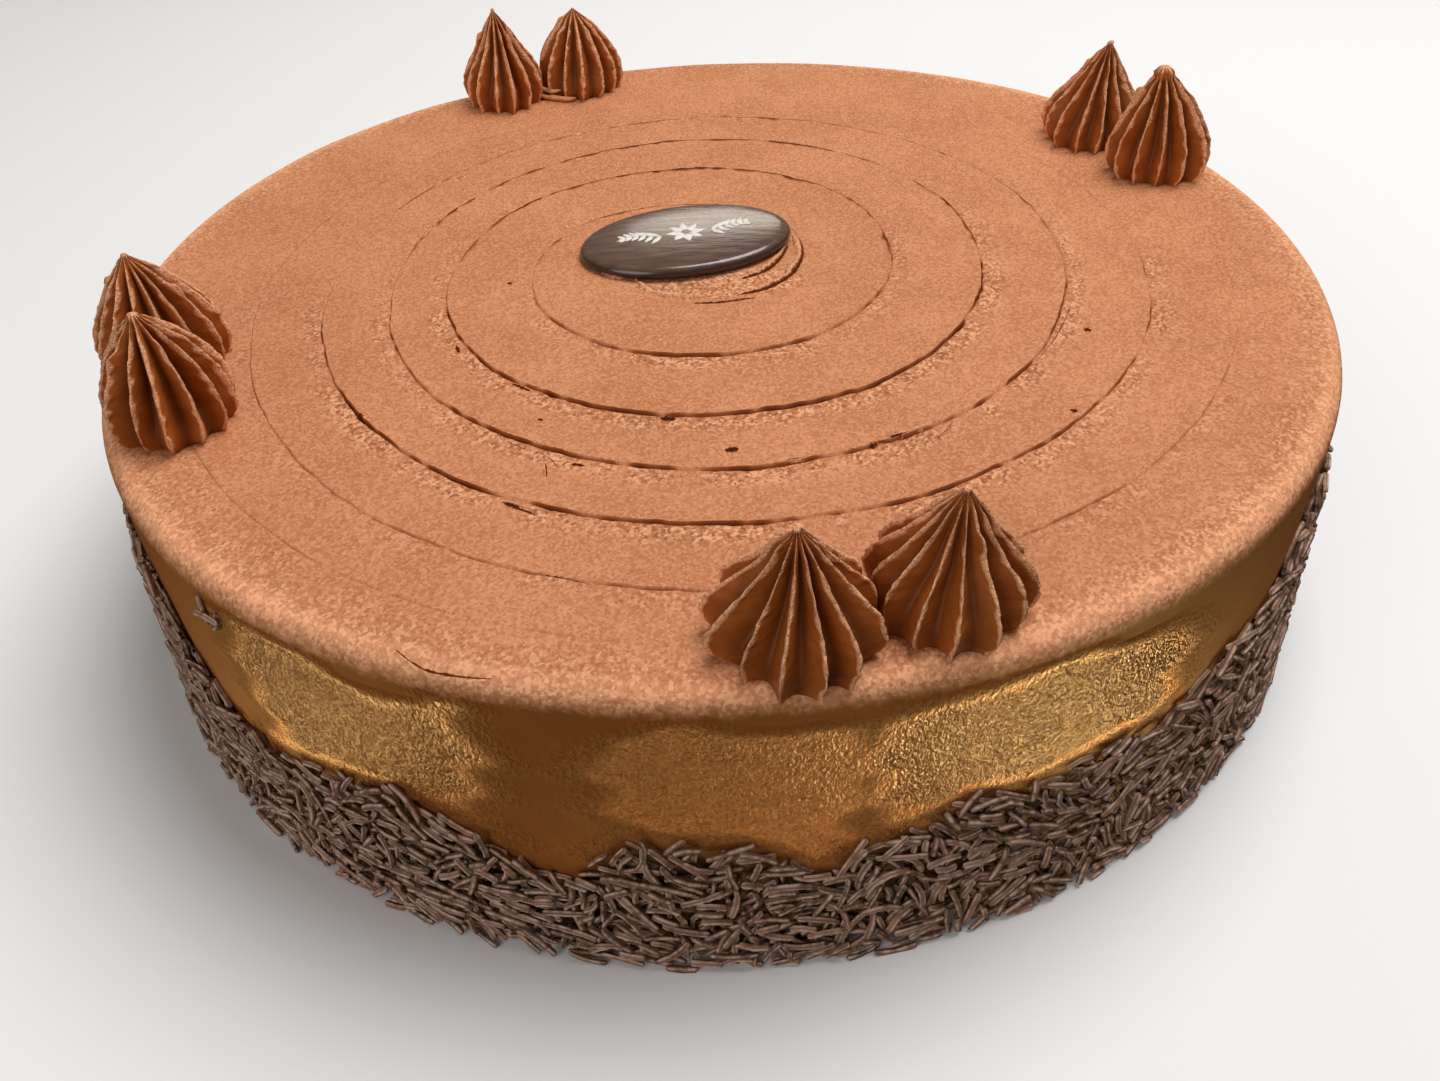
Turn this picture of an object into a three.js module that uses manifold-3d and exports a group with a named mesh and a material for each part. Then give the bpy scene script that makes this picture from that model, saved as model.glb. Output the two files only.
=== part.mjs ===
// A round chocolate-iced layer cake: a tall iced body whose top is combed into one spiral by a palette knife,
// a band of chocolate sprinkles pressed round its foot, four pairs of piped stars near the rim and an oval
// chocolate plaque in the middle. Millimetres, +Z up, origin at the centre of the flat underside.
import * as THREE from "three";
import { mergeVertices } from "three/addons/utils/BufferGeometryUtils.js";
import Module from "manifold-3d";

const wasm = await Module();
wasm.setup();

// ---- driving dimensions -------------------------------------------------------------------------------------
const CAKE_RADIUS = 131.7; // a 10 inch cake with its icing
const OUTLINE_WAVES = [
  // lobes round the cake, depth in mm and the azimuth of one lobe: a little square, and flat at the back
  [2, 0.5, 0],
  [3, 0.6, 30],
  [4, 0.8, 45],
];
const CAKE_HEIGHT = 66.5; // underside to the icing's mean top
const EDGE_ROUND = 6.5; // rounding between top and side
const COLUMNS = 72; // faces round the body
const GAP = 0.3; // clearance between pieces that touch
const MERGE = 0.002; // points closer than this are one

// The knife's line, from the middle of the cake out to its rounded edge: for each turn, the radius at which it
// passes the right, the back, the left and the front of the cake.
const SWIRL_TURNS = [
  [0, 6, 12, 16.5],
  [20, 30, 40.5, 38.5],
  [39.5, 51, 59, 59.5],
  [59.2, 69, 71.5, 76],
  [77, 84.5, 85.5, 91.5],
  [94.3, 97, 100, 108],
  [111.3, 112.5, 115, 120.5],
  [125],
];
const SWIRL_RELIEF = 1.1; // crest to trough where the knife bit deepest
const SWIRL_STEP = 1.4; // width of the drop outside each crest

const BAND_TOP = 34; // height of the scallops along the sprinkles' upper outline, at the front and back
const BAND_RISE = 20; // how much higher they reach at the left and right
const BAND_LOBES = 16; // one scallop for each press of the hand
const BAND_DIP = [3, 9]; // least and greatest depth of the dips between them
const BAND_DIP_AT = -84.5; // azimuth of one of the dips
const BAND_FOOT = 4; // the packed layer's thickness at the foot
const BAND_LIP = 1.5; // and under its upper outline
const FOOT_TUCK = 0.8; // the foot is drawn in this much where the cake stands

const SPRINKLE_RADIUS = 0.95;
const SPRINKLE_LENGTH = [6, 10];
const LOWEST_SPRINKLE = 2.8; // height of the lowest ones, which lie level
const SPRINKLES_IN_BAND = 138;
const SPRINKLES_ON_OUTLINE = 32;
const STRAY_SPRINKLES = [
  // azimuth in degrees, height in mm, slant in degrees
  [-132.4, 57.5, 88],
  [-131.2, 56.5, 60],
];

const STAR_RIDGES = 13;
const STAR_RIDGE_DEPTH = 0.17; // of the star's radius
const STAR_TWIST = 0.12; // radians that the ridges turn from foot to tip
const STAR_BELLY = 0.22; // share of its height at which a star is widest
const STAR_NIP = 0.17; // how much narrower its foot is
const STAR_ROOT = 4; // how far a star reaches down before the icing cuts it off
const STARS = [
  // polar radius, azimuth, belly radius, height, sideways lean of the tip, turn of the ridges in degrees
  { name: "front_left", at: 121.1, az: -85.6, radius: 13.9, height: 22, lean: [0, 0.4], turn: 4 },
  { name: "front_right", at: 119.1, az: -74.1, radius: 13.3, height: 23, lean: [1.6, 0.3], turn: 17 },
  { name: "left_front", at: 117.2, az: -152.2, radius: 12.9, height: 23.5, lean: [-0.8, 0], turn: 9 },
  { name: "left_back", at: 118.2, az: -164.0, radius: 13.1, height: 23, lean: [-0.6, 0.6], turn: 22 },
  { name: "back_left", at: 120.0, az: 119.0, radius: 11.9, height: 24.5, lean: [0.5, 0], turn: 12 },
  { name: "back_right", at: 119.6, az: 107.9, radius: 12.3, height: 21.8, lean: [-0.3, 0], turn: 1 },
  { name: "right_back", at: 116.0, az: 31.4, radius: 12.4, height: 24, lean: [2, 0], turn: 15 },
  { name: "right_front", at: 117.4, az: 20.1, radius: 12.5, height: 24, lean: [-2, 0.3], turn: 6 },
];

const PLAQUE = { x: -6.3, y: 9.8, length: 49, width: 34, thickness: 4.4, turn: 10 };
const SEAT = 1.5; // the icing is smooth under the plaque and out to this many times its size

const COLOUR = { icing: "#a5673f", stars: "#5d2f1a", plaque: "#3a2a24" };

// ---- small helpers ------------------------------------------------------------------------------------------
const TURN = 2 * Math.PI;
const rad = THREE.MathUtils.degToRad;
const { lerp, clamp, smoothstep, seededRandom } = THREE.MathUtils;
const between = (low, high) => lerp(low, high, seededRandom());
const polar = (r, angle, z) => new THREE.Vector3(r * Math.cos(angle), r * Math.sin(angle), z);

// A closed surface from rows of points. Each row holds one more point than there are columns: its last point lies
// on its own first one or, on the swirl, on the next row's. The first and last rows shrink to a point.
function rowsToGeometry(rows) {
  const points = [];
  for (let i = 0; i + 1 < rows.length; i++) {
    for (let j = 0; j + 1 < rows[i].length; j++) {
      points.push(rows[i][j], rows[i + 1][j], rows[i + 1][j + 1]);
      points.push(rows[i][j], rows[i + 1][j + 1], rows[i][j + 1]);
    }
  }
  return new THREE.BufferGeometry().setFromPoints(points);
}

// A solid from a closed surface. Faces that shrink to a line when points are merged are left out.
function toSolid(geometry) {
  const bare = geometry.clone();
  bare.deleteAttribute("normal");
  bare.deleteAttribute("uv");
  const merged = mergeVertices(bare, MERGE);
  const faces = [];
  for (let i = 0; i < merged.index.count; i += 3) {
    const face = [0, 1, 2].map((k) => merged.index.getX(i + k));
    if (new Set(face).size === 3) faces.push(...face);
  }
  const vertProperties = merged.getAttribute("position").array;
  return new wasm.Manifold(new wasm.Mesh({ numProp: 3, vertProperties, triVerts: new Uint32Array(faces) }));
}

function toMesh(name, solid, colour, roughness) {
  const { vertProperties, triVerts } = solid.getMesh();
  const geometry = new THREE.BufferGeometry();
  geometry.setAttribute("position", new THREE.Float32BufferAttribute(vertProperties, 3));
  geometry.setIndex(new THREE.Uint32BufferAttribute(triVerts, 1));
  geometry.computeVertexNormals();
  const mesh = new THREE.Mesh(geometry, new THREE.MeshStandardMaterial({ color: colour, roughness, metalness: 0 }));
  mesh.name = name;
  return mesh;
}

// ---- the iced body ------------------------------------------------------------------------------------------
// The outline is a circle smoothed by hand.
const sideRadius = (angle) =>
  OUTLINE_WAVES.reduce((r, [lobes, depth, azimuth]) => r + depth * Math.cos(lobes * (angle - rad(azimuth))), CAKE_RADIUS);

// The knife's line after a number of turns, as a smooth curve through its quarter-turn radii.
const swirlRadii = SWIRL_TURNS.flat();
const swirlEnd = (swirlRadii.length - 1) / 4;
function swirlRadius(turns) {
  const place = clamp(4 * turns, 0, swirlRadii.length - 1);
  const i = Math.min(Math.floor(place), swirlRadii.length - 2);
  const u = place - i;
  const at = (k) => swirlRadii[clamp(k, 0, swirlRadii.length - 1)];
  const slopeIn = (at(i + 1) - at(i - 1)) / 2;
  const slopeOut = (at(i + 2) - at(i)) / 2;
  return (
    at(i) * (2 * u ** 3 - 3 * u ** 2 + 1) +
    slopeIn * (u ** 3 - 2 * u ** 2 + u) +
    at(i + 1) * (3 * u ** 2 - 2 * u ** 3) +
    slopeOut * (u ** 3 - u ** 2)
  );
}

// How much of the relief a place on top has: none under the plaque, most round it and little near the rim.
function swirlPressure(turns, { x, y }) {
  const turn = rad(PLAQUE.turn);
  const along = (x - PLAQUE.x) * Math.cos(turn) + (y - PLAQUE.y) * Math.sin(turn);
  const across = (y - PLAQUE.y) * Math.cos(turn) - (x - PLAQUE.x) * Math.sin(turn);
  const seat = Math.hypot(along / (PLAQUE.length / 2), across / (PLAQUE.width / 2));
  const towardsRim = lerp(1, 0.35, smoothstep(turns, 4.2, 6));
  return smoothstep(seat, SEAT, SEAT + 0.35) * towardsRim * (1 - smoothstep(turns, 6.2, swirlEnd));
}

function crest(turns, angle) {
  const point = polar(swirlRadius(turns), angle, CAKE_HEIGHT);
  point.z += 0.5 * SWIRL_RELIEF * swirlPressure(turns, point);
  return point;
}

function trough(turns, angle) {
  const point = polar(swirlRadius(turns), angle, CAKE_HEIGHT);
  const pressure = swirlPressure(turns, point);
  point.addScaledVector(polar(1, angle, 0), SWIRL_STEP * pressure);
  point.z -= 0.5 * SWIRL_RELIEF * pressure;
  return point;
}

// The sprinkles' upper outline: scallops with dips of uneven depth between them.
function bandTop(angle) {
  const lobe = Math.abs(Math.sin((BAND_LOBES / 2) * (angle - rad(BAND_DIP_AT))));
  const dip = lerp(...BAND_DIP, 0.5 + 0.5 * Math.sin(3 * angle + 0.9));
  return BAND_TOP + BAND_RISE * Math.cos(angle) ** 4 - dip * (1 - Math.sqrt(lobe));
}

// Radius of the icing and the packed sprinkles over it at a height on the side.
function bandRadius(angle, z) {
  const top = bandTop(angle);
  if (z > top) return sideRadius(angle);
  return sideRadius(angle) + lerp(BAND_FOOT, BAND_LIP, clamp(z / top, 0, 1) ** 0.7);
}

// The iced body with the packed sprinkles, without the ones that stand out. It can be made larger all round.
function bodyCore(growth = 0) {
  const rows = [];
  const row = (point) =>
    rows.push(Array.from({ length: COLUMNS + 1 }, (_, j) => point((TURN * j) / COLUMNS, j / COLUMNS)));
  const lift = new THREE.Vector3(0, 0, growth);
  for (let turn = -1; turn < swirlEnd; turn++) {
    row((angle, part) => crest(turn + part, angle).add(lift));
    row((angle, part) => trough(turn + part, angle).add(lift));
  }
  row((angle) => polar(swirlRadius(swirlEnd), angle, CAKE_HEIGHT + growth));
  for (const lean of [30, 60, 90]) {
    const drop = EDGE_ROUND * (1 - Math.cos(rad(lean)));
    row((angle) => {
      const inner = sideRadius(angle) + growth - EDGE_ROUND;
      return polar(inner + EDGE_ROUND * Math.sin(rad(lean)), angle, CAKE_HEIGHT + growth - drop);
    });
  }
  row((angle) => polar(sideRadius(angle) + growth, angle, bandTop(angle) + 0.5));
  for (const share of [0.97, 0.45, 0.06]) {
    row((angle) => polar(bandRadius(angle, share * bandTop(angle)) + growth, angle, share * bandTop(angle)));
  }
  row((angle) => polar(bandRadius(angle, 0) + growth - FOOT_TUCK, angle, 0));
  row(() => new THREE.Vector3(0, 0, 0));
  return rowsToGeometry(rows);
}

// One sprinkle: a rod with blunt ends, lying on the side of the cake at a slant from level.
function sprinkle(angle, z, slant, proud) {
  const reach = between(...SPRINKLE_LENGTH) / 2;
  const shoulder = reach - 0.5 * SPRINKLE_RADIUS;
  const outline = [
    [0, -reach],
    [SPRINKLE_RADIUS, -shoulder],
    [SPRINKLE_RADIUS, shoulder],
    [0, reach],
  ];
  const rod = new THREE.LatheGeometry(
    outline.map(([x, y]) => new THREE.Vector2(x, y)),
    5,
  );
  rod.rotateY(between(0, TURN));
  rod.rotateZ(rad(slant) - Math.PI / 2);
  // Now the rod's X becomes the way round the cake, its Y the way up and its Z the way out.
  const round = new THREE.Vector3(-Math.sin(angle), Math.cos(angle), 0);
  const basis = new THREE.Matrix4().makeBasis(round, new THREE.Vector3(0, 0, 1), polar(1, angle, 0));
  rod.applyMatrix4(basis.setPosition(polar(bandRadius(angle, z) + proud, angle, z)));
  return toSolid(rod);
}

function sprinkles() {
  seededRandom(7);
  const made = [];
  const golden = (Math.sqrt(5) - 1) / 2; // steps of this share of a turn spread them evenly
  for (let i = 0; i < SPRINKLES_IN_BAND; i++) {
    const angle = TURN * ((i * golden + between(0, 0.006)) % 1);
    const z = lerp(LOWEST_SPRINKLE, bandTop(angle) - 4, (i + 0.5) / SPRINKLES_IN_BAND);
    const steepest = z < 2 * LOWEST_SPRINKLE ? 10 : 75;
    made.push(sprinkle(angle, z, between(-steepest, steepest), between(0.1, 0.7)));
  }
  for (let i = 0; i < SPRINKLES_ON_OUTLINE; i++) {
    const angle = (TURN * (i + between(-0.3, 0.3))) / SPRINKLES_ON_OUTLINE;
    made.push(sprinkle(angle, bandTop(angle) - between(0, 2), between(-80, 80), between(0, 0.4)));
  }
  for (const [azimuth, z, slant] of STRAY_SPRINKLES) made.push(sprinkle(rad(azimuth), z, slant, 0.4));
  return made.reduce((joined, one) => joined.add(one));
}

// ---- the piped stars ----------------------------------------------------------------------------------------
// Radius of a star at a share of its height: nipped in at the foot, full low down and drawn out to a point.
function starRadius(share) {
  const dome = Math.cos((Math.PI / 2) * share ** 1.25) ** 1.1;
  const foot = 1 - STAR_NIP * clamp(1 - share / STAR_BELLY, 0, 1) ** 2;
  return dome * foot;
}

function pipedStar(star, index) {
  seededRandom(40 + index);
  const columns = 2 * STAR_RIDGES; // crests on the even ones, valleys on the odd ones
  const fullness = Array.from({ length: columns + 1 }, (_, j) => (j % 2 ? 1 - STAR_RIDGE_DEPTH : between(0.95, 1.04)));
  fullness[columns] = fullness[0];
  const rowAt = (share, scale, z) =>
    fullness.map((full, j) => {
      const angle = rad(star.turn) + (TURN * j) / columns + STAR_TWIST * share;
      const lean = new THREE.Vector3(...star.lean, 0).multiplyScalar(share ** 2);
      return polar(star.radius * scale * full, angle, z).add(lean);
    });
  const rows = [rowAt(1, 0, star.height)];
  for (const share of [0.9, 0.7, 0.45, 0.22, 0]) {
    rows.push(rowAt(share, starRadius(share), share * star.height));
  }
  rows.push(rowAt(0, 0.6, -STAR_ROOT));
  rows.push(rowAt(0, 0, -STAR_ROOT));
  const place = polar(star.at, rad(star.az), CAKE_HEIGHT);
  return toSolid(rowsToGeometry(rows).translate(...place.toArray()));
}

// The space beyond the upright plane midway between a star and its neighbour, less half the gap.
function farSide(star, neighbour) {
  const from = polar(star.at, rad(star.az), CAKE_HEIGHT);
  const along = polar(neighbour.at, rad(neighbour.az), CAKE_HEIGHT).sub(from);
  const share = star.radius / (star.radius + neighbour.radius);
  const plane = from.addScaledVector(along, share - GAP / 2 / along.length());
  const side = 4 * star.height;
  const block = new THREE.BoxGeometry(side, side, side).translate(side / 2, 0, 0);
  return toSolid(block.rotateZ(Math.atan2(along.y, along.x)).translate(...plane.toArray()));
}

// ---- the oval plaque ----------------------------------------------------------------------------------------
// Share of the half length and half width, and height above its underside: a domed face with a rolled edge.
const PLAQUE_OUTLINE = [
  [0, 1],
  [0.55, 0.99],
  [0.86, 0.93],
  [0.97, 0.72],
  [1, 0.42],
  [0.97, 0.12],
  [0.94, 0],
  [0, 0],
];
const PLAQUE_COLUMNS = 32;

function plaque() {
  const { x, y, length, width, thickness, turn } = PLAQUE;
  const rows = PLAQUE_OUTLINE.map(([share, rise]) =>
    Array.from({ length: PLAQUE_COLUMNS + 1 }, (_, j) => {
      const angle = (TURN * j) / PLAQUE_COLUMNS;
      const half = new THREE.Vector3(length / 2, width / 2, 0).multiplyScalar(share);
      return new THREE.Vector3(half.x * Math.cos(angle), half.y * Math.sin(angle), rise * thickness);
    }),
  );
  return toSolid(rowsToGeometry(rows).rotateZ(rad(turn)).translate(x, y, CAKE_HEIGHT + GAP));
}

// ---- the cake put together ----------------------------------------------------------------------------------
const cake = new THREE.Group();
cake.add(toMesh("iced_cake", toSolid(bodyCore()).add(sprinkles()), COLOUR.icing, 0.5));
const clearance = toSolid(bodyCore(GAP));
STARS.forEach((star, index) => {
  const neighbour = STARS[index ^ 1]; // they come in touching pairs
  const solid = pipedStar(star, index).subtract(farSide(star, neighbour)).subtract(clearance);
  cake.add(toMesh(`star_${star.name}`, solid, COLOUR.stars, 0.4));
});
cake.add(toMesh("plaque", plaque(), COLOUR.plaque, 0.25));

export default cake;
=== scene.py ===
"""The finished look of a round chocolate-iced layer cake: icing combed into a spiral, sprinkles packed
round its foot, eight piped stars and an oval chocolate plaque. Sizes are in millimetres, except where it says
otherwise, and are turned into metres in the meshes."""

import math

import bmesh
import bpy
import numpy as np
from mathutils import Matrix, Vector
from mathutils.bvhtree import BVHTree


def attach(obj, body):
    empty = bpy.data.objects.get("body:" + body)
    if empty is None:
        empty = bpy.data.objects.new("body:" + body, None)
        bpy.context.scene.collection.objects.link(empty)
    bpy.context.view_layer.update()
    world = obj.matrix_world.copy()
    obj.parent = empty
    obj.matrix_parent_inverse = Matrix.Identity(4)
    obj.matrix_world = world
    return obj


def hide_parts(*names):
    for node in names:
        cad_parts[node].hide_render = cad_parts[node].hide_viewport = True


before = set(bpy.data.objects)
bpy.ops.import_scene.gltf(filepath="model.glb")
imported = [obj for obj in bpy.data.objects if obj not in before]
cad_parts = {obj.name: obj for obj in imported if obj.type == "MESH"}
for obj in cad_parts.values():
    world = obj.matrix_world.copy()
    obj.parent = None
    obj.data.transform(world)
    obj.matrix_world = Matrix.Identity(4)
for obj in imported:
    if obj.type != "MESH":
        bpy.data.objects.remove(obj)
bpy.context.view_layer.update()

# ---- The photographer's place -----------------------------------------------
# A hand-held camera stands over the front of the cake and looks down at it by about 40 degrees, tipped a
# little to one side. It is near enough for the front of the cake to look larger than the back.
MM = 0.001
CAMERA_PLACE = (0, -253, 199.8)
CAMERA_AIM = (-1.1, -96, 66.5)
CAMERA_TIP = -2.74
CAMERA_LENS = 31.05

camera = bpy.data.objects.new("camera", bpy.data.cameras.new("camera"))
bpy.context.scene.collection.objects.link(camera)
bpy.context.scene.camera = camera
camera.data.lens = CAMERA_LENS
camera.data.clip_start = 0.01
look = Vector(CAMERA_AIM) - Vector(CAMERA_PLACE)
place = Matrix.Translation(Vector(CAMERA_PLACE) * MM)
tip = Matrix.Rotation(math.radians(CAMERA_TIP), 4, "Z")
camera.matrix_world = place @ look.to_track_quat("-Z", "Y").to_matrix().to_4x4() @ tip

# ---- The iced cake ----------------------------------------------------------
# Filled sponge under chocolate buttercream. A palette knife drawn outwards on a turntable left one long
# spiral in the top, with a thin torn lip along its outer edge. The side was scraped smooth and then
# rounded into the top.
TURN = 2 * math.pi
CAKE_RADIUS = 131.7
CAKE_HEIGHT = 66.5
EDGE_ROUND = 4.2
FOOT_TUCK = 0.8
OUTLINE_WAVES = ((2, 0.5, 0), (3, 0.6, 30), (4, 0.8, 45))  # lobes, their depth and the azimuth of one lobe
KNIFE_TURNS = (  # radius of the knife's line at the right, the back, the left and the front of each turn
    (0, 6, 12, 16.5),
    (20, 30, 40.5, 38.5),
    (39.5, 51, 59, 59.5),
    (59.2, 69, 71.5, 76),
    (77, 84.5, 85.5, 91.5),
    (94.3, 97, 100, 108),
    (111.3, 112.5, 115, 120.5),
    (125,),
)
LIP_SHARPNESS = (  # from the second turn on, at eight places a turn from the right round by the back
    (0.7, 0.5, 0.6, 0.6, 0.35, 0.5, 1, 0.4),
    (0.8, 0.7, 0.9, 0.8, 0.5, 0.9, 1, 0.9),
    (0.8, 0.8, 0.9, 0.8, 0.4, 0.8, 0.9, 0.8),
    (0.5, 0.5, 0.6, 0.5, 0.4, 0.8, 0.9, 0.8),
    (0.4, 0.1, 0.05, 0.3, 0.3, 0.3, 0.4, 0.35),
    (0.1, 0.1, 0.1, 0.1, 0.1, 0.3, 0.1, 0),
)
RAGGED_LIP = ((1, 0.35, 14), (2, 0.14, 4), (9, 0.1, 1.7))  # random waves: seed, height and length
TORN_LIP = (0.85, ((3, 0.5, 9), (4, 0.5, 2.6)))  # how sharp it is left, and random waves of that
KNIFE_SETS_ON = (0.9, 1.3)  # the turns over which the knife is pressed down,
KNIFE_EASES = (4.2, 6)  # over which it eases by this share,
KNIFE_EASES_BY = 0.4
KNIFE_LIFTS = 6.2  # and from which it is lifted off
KNIFE_STEP = 0.55  # from the crest of one turn down to the next turn beside it
LIP_RISE = 0.22
CREVICE_DEPTH = 0.4
CREVICE_AT = 0.12  # from the lip
CREVICE_WIDTH = (0.08, 0.4)  # where the lip lies close, and where it is torn open
CREVICE_OPEN = (0.3, ((7, 0.5, 6), (8, 0.5, 1.9)))  # how open it is on the whole, and random waves of that
WIDER_BEHIND = 2.4  # so many times wider at the back of the cake, where it lies inside the lip
LIP_WIDTH = 0.6
DRAGGED = ((0.1, 0.8), (2.5, 7))  # distances outside a lip over which dragged icing begins and ends
ICING_COLUMNS = 720
ROWS_OUTSIDE_LIP = (0, 0.13, 0.3, 0.55, 1.1, 2.0)
ROWS_BETWEEN = 6
ROWS_INSIDE_LIP = (2.6, 1.3, 0.6, 0.18)
FULL_BAND = 9  # narrower turns than this have a smaller lip
EDGE_LEANS = range(18, 91, 12)  # degrees from upright of the rings of points round the edge
SIDE_RINGS = (*range(60, 20, -3), 16, 8, 3)  # heights of the rings of points down the side
SIDE_WAVES = ((5, 0.3, 16, 30), (6, 0.12, 40, 9))  # seed, depth, how many go round, and how high one is
STIRRED = (1, -8.5, 20, 7.5)  # a patch worked rough in front of the middle: its place and half its sizes
GRAINED = (  # azimuth, half the width and strength of the patches that the scraper left grained and glossy
    (-119, 14, 1), (-90, 13, 0.8), (-68, 17, 1), (14, 14, 1), (55, 16, 0.8), (97, 18, 1), (135, 15, 0.8),
    (172, 15, 0.9),
)
GRAINED_TOP = (57, 61)  # heights over which they end, above,
GRAINED_FOOT = (-1, 5)  # and over the sprinkles' outline, below
BAND_TOP = 34  # the sprinkles that the side of the cake is dressed with reach up to here behind
BAND_RISE = 20  # and this much higher at the left and right
BAND_LOBES = 16
BAND_DIP = (3, 9)
BAND_DIP_AT = -84.5
BAND_FRONT_ENDS = ((-152, -146), (-33, -27))  # azimuths over which the front's own outline sets in and ends
BAND_FRONT = (  # azimuth and height of the outline round the front, where each handful was pressed on
    (-152, 47), (-144, 50), (-140, 37), (-135, 28), (-130, 25), (-123, 30), (-116, 32), (-111, 30),
    (-106, 23), (-103, 19), (-98, 32), (-90, 31), (-87, 28), (-84.5, 23), (-82, 26), (-79, 28), (-73.5, 34),
    (-68, 32), (-60, 34), (-56, 31), (-52, 35), (-48.7, 39), (-41, 39), (-38, 48), (-33, 56), (-27, 47),
)
TOP_LOOK = (63.2, 67)  # heights over which the look of the side gives way to the top's
ROUGH_RIM = (117, 130)  # distances from the middle over which the icing on top gets rougher
PALE_AND_LIT_RIM = (126, 130)  # and paler
RANDOM_VALUES = 4096


def smooth(low, high, value):
    share = np.clip((value - low) / (high - low), 0, 1)
    return share * share * (3 - 2 * share)


def curve_through(values, place):
    """A smooth curve through evenly spaced values, at places counted from the first one."""
    values = np.asarray(values, float)
    last = len(values) - 1
    place = np.clip(place, 0, last)
    start = np.minimum(place.astype(int), last - 1)
    u = (place - start).reshape(place.shape + (1,) * (values.ndim - 1))
    before, here, after, beyond = (values[np.clip(start + k, 0, last)] for k in (-1, 0, 1, 2))
    bend = here * (2 * u**3 - 3 * u**2 + 1) + after * (3 * u**2 - 2 * u**3)
    return bend + (after - before) / 2 * (u**3 - 2 * u**2 + u) + (beyond - here) / 2 * (u**3 - u**2)


def unevenness(seed, place):
    """Random from -1 to 1 along a line, smooth between whole places."""
    values = np.random.default_rng(seed).uniform(-1, 1, RANDOM_VALUES)
    start = np.floor(place).astype(int)
    here, after = values[start % RANDOM_VALUES], values[(start + 1) % RANDOM_VALUES]
    return here + (after - here) * smooth(0, 1, place - start)


def with_waves(level, waves, run):
    """A level with random waves on it, each with its seed, height and length."""
    for seed, height, length in waves:
        level = level + height * unevenness(seed, run / length)
    return level


def polar(out, angle):
    return out * np.cos(angle), out * np.sin(angle)


def unit(vectors):
    return vectors / np.linalg.norm(vectors, axis=1)[:, None]


def drawn_line(path, count):
    """So many places along a smooth line on the top, and which way is aside at each."""
    line = curve_through(path, np.linspace(0, len(path) - 1, count))
    ahead = np.gradient(line, axis=0)
    return line, unit(np.stack([-ahead[:, 1], ahead[:, 0]], -1))


def side_radius(angle):
    waves = 0
    for lobes, depth, azimuth in OUTLINE_WAVES:
        waves = waves + depth * np.cos(lobes * (angle - math.radians(azimuth)))
    return CAKE_RADIUS + waves


knife_radii = np.concatenate(KNIFE_TURNS)
KNIFE_END = (len(knife_radii) - 1) / 4
turns_along = np.linspace(0, KNIFE_END, 3000)  # so many short steps to measure the line by
length_along = np.cumsum(TURN * curve_through(knife_radii, 4 * turns_along)) * turns_along[1]


def lip_length(turns):
    """Millimetres that the knife has travelled."""
    return np.interp(turns, turns_along, length_along)


def lip_radius(turns):
    ragged = with_waves(0, RAGGED_LIP, lip_length(turns))
    ragged = ragged * smooth(0.6, 1, turns) * (1 - smooth(KNIFE_LIFTS, KNIFE_END, turns))
    return curve_through(knife_radii, 4 * turns) + ragged


def lip_sharpness(turns):
    values = np.concatenate(LIP_SHARPNESS)
    sharp = np.interp(8 * (turns - 1), np.arange(len(values)), values)
    torn = with_waves(*TORN_LIP, lip_length(turns))
    return sharp * np.clip(torn, 0, 1.3) * smooth(1, 1.15, turns)


def crevice_width(turns):
    open_by = with_waves(*CREVICE_OPEN, lip_length(turns))
    return CREVICE_WIDTH[0] + (CREVICE_WIDTH[1] - CREVICE_WIDTH[0]) * np.clip(open_by, 0, 1)


def knife_pressure(turns):
    eased = 1 - KNIFE_EASES_BY * smooth(*KNIFE_EASES, turns)
    return eased * (1 - smooth(KNIFE_LIFTS, KNIFE_END, turns)) * smooth(*KNIFE_SETS_ON, turns)


def swell(x, y):
    """The long low unevenness of icing spread by hand."""
    along = 0.2 * np.sin(x / 17 + 1) * np.cos(y / 23 + 2)
    aslant = 0.12 * np.sin((x + y) / 11 + 2) * np.sin((x - y) / 13)
    return along + aslant


def band_top(angle):
    """Height of the scalloped outline of the sprinkles."""
    lobe = np.abs(np.sin(BAND_LOBES / 2 * (angle - math.radians(BAND_DIP_AT))))
    dip = BAND_DIP[0] + (BAND_DIP[1] - BAND_DIP[0]) * (0.5 + 0.5 * np.sin(3 * angle + 0.9))
    behind = BAND_TOP + BAND_RISE * np.cos(angle) ** 4 - dip * (1 - np.sqrt(lobe))
    azimuth = (np.degrees(angle) + 180) % 360 - 180
    begins, ends = BAND_FRONT_ENDS
    in_front = smooth(*begins, azimuth) * (1 - smooth(*ends, azimuth))
    return behind + (np.interp(azimuth, *np.transpose(BAND_FRONT)) - behind) * in_front


def make_piece(name, points, faces, shades=None, weld=0):
    """A smooth piece from points in millimetres. Shades are values at its points that its finish reads."""
    mesh = bpy.data.meshes.new(name)
    mesh.from_pydata((np.asarray(points) * MM).tolist(), [], np.asarray(faces).tolist())
    for shade, values in (shades or {}).items():
        layer = mesh.attributes.new(shade, "FLOAT", "POINT")
        layer.data.foreach_set("value", np.ravel(values).astype(np.float32))
    if weld:
        soft = bmesh.new()
        soft.from_mesh(mesh)
        bmesh.ops.remove_doubles(soft, verts=soft.verts, dist=weld * MM)
        soft.to_mesh(mesh)
        soft.free()
    mesh.shade_smooth()
    piece = bpy.data.objects.new(name, mesh)
    bpy.context.scene.collection.objects.link(piece)
    return piece


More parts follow.
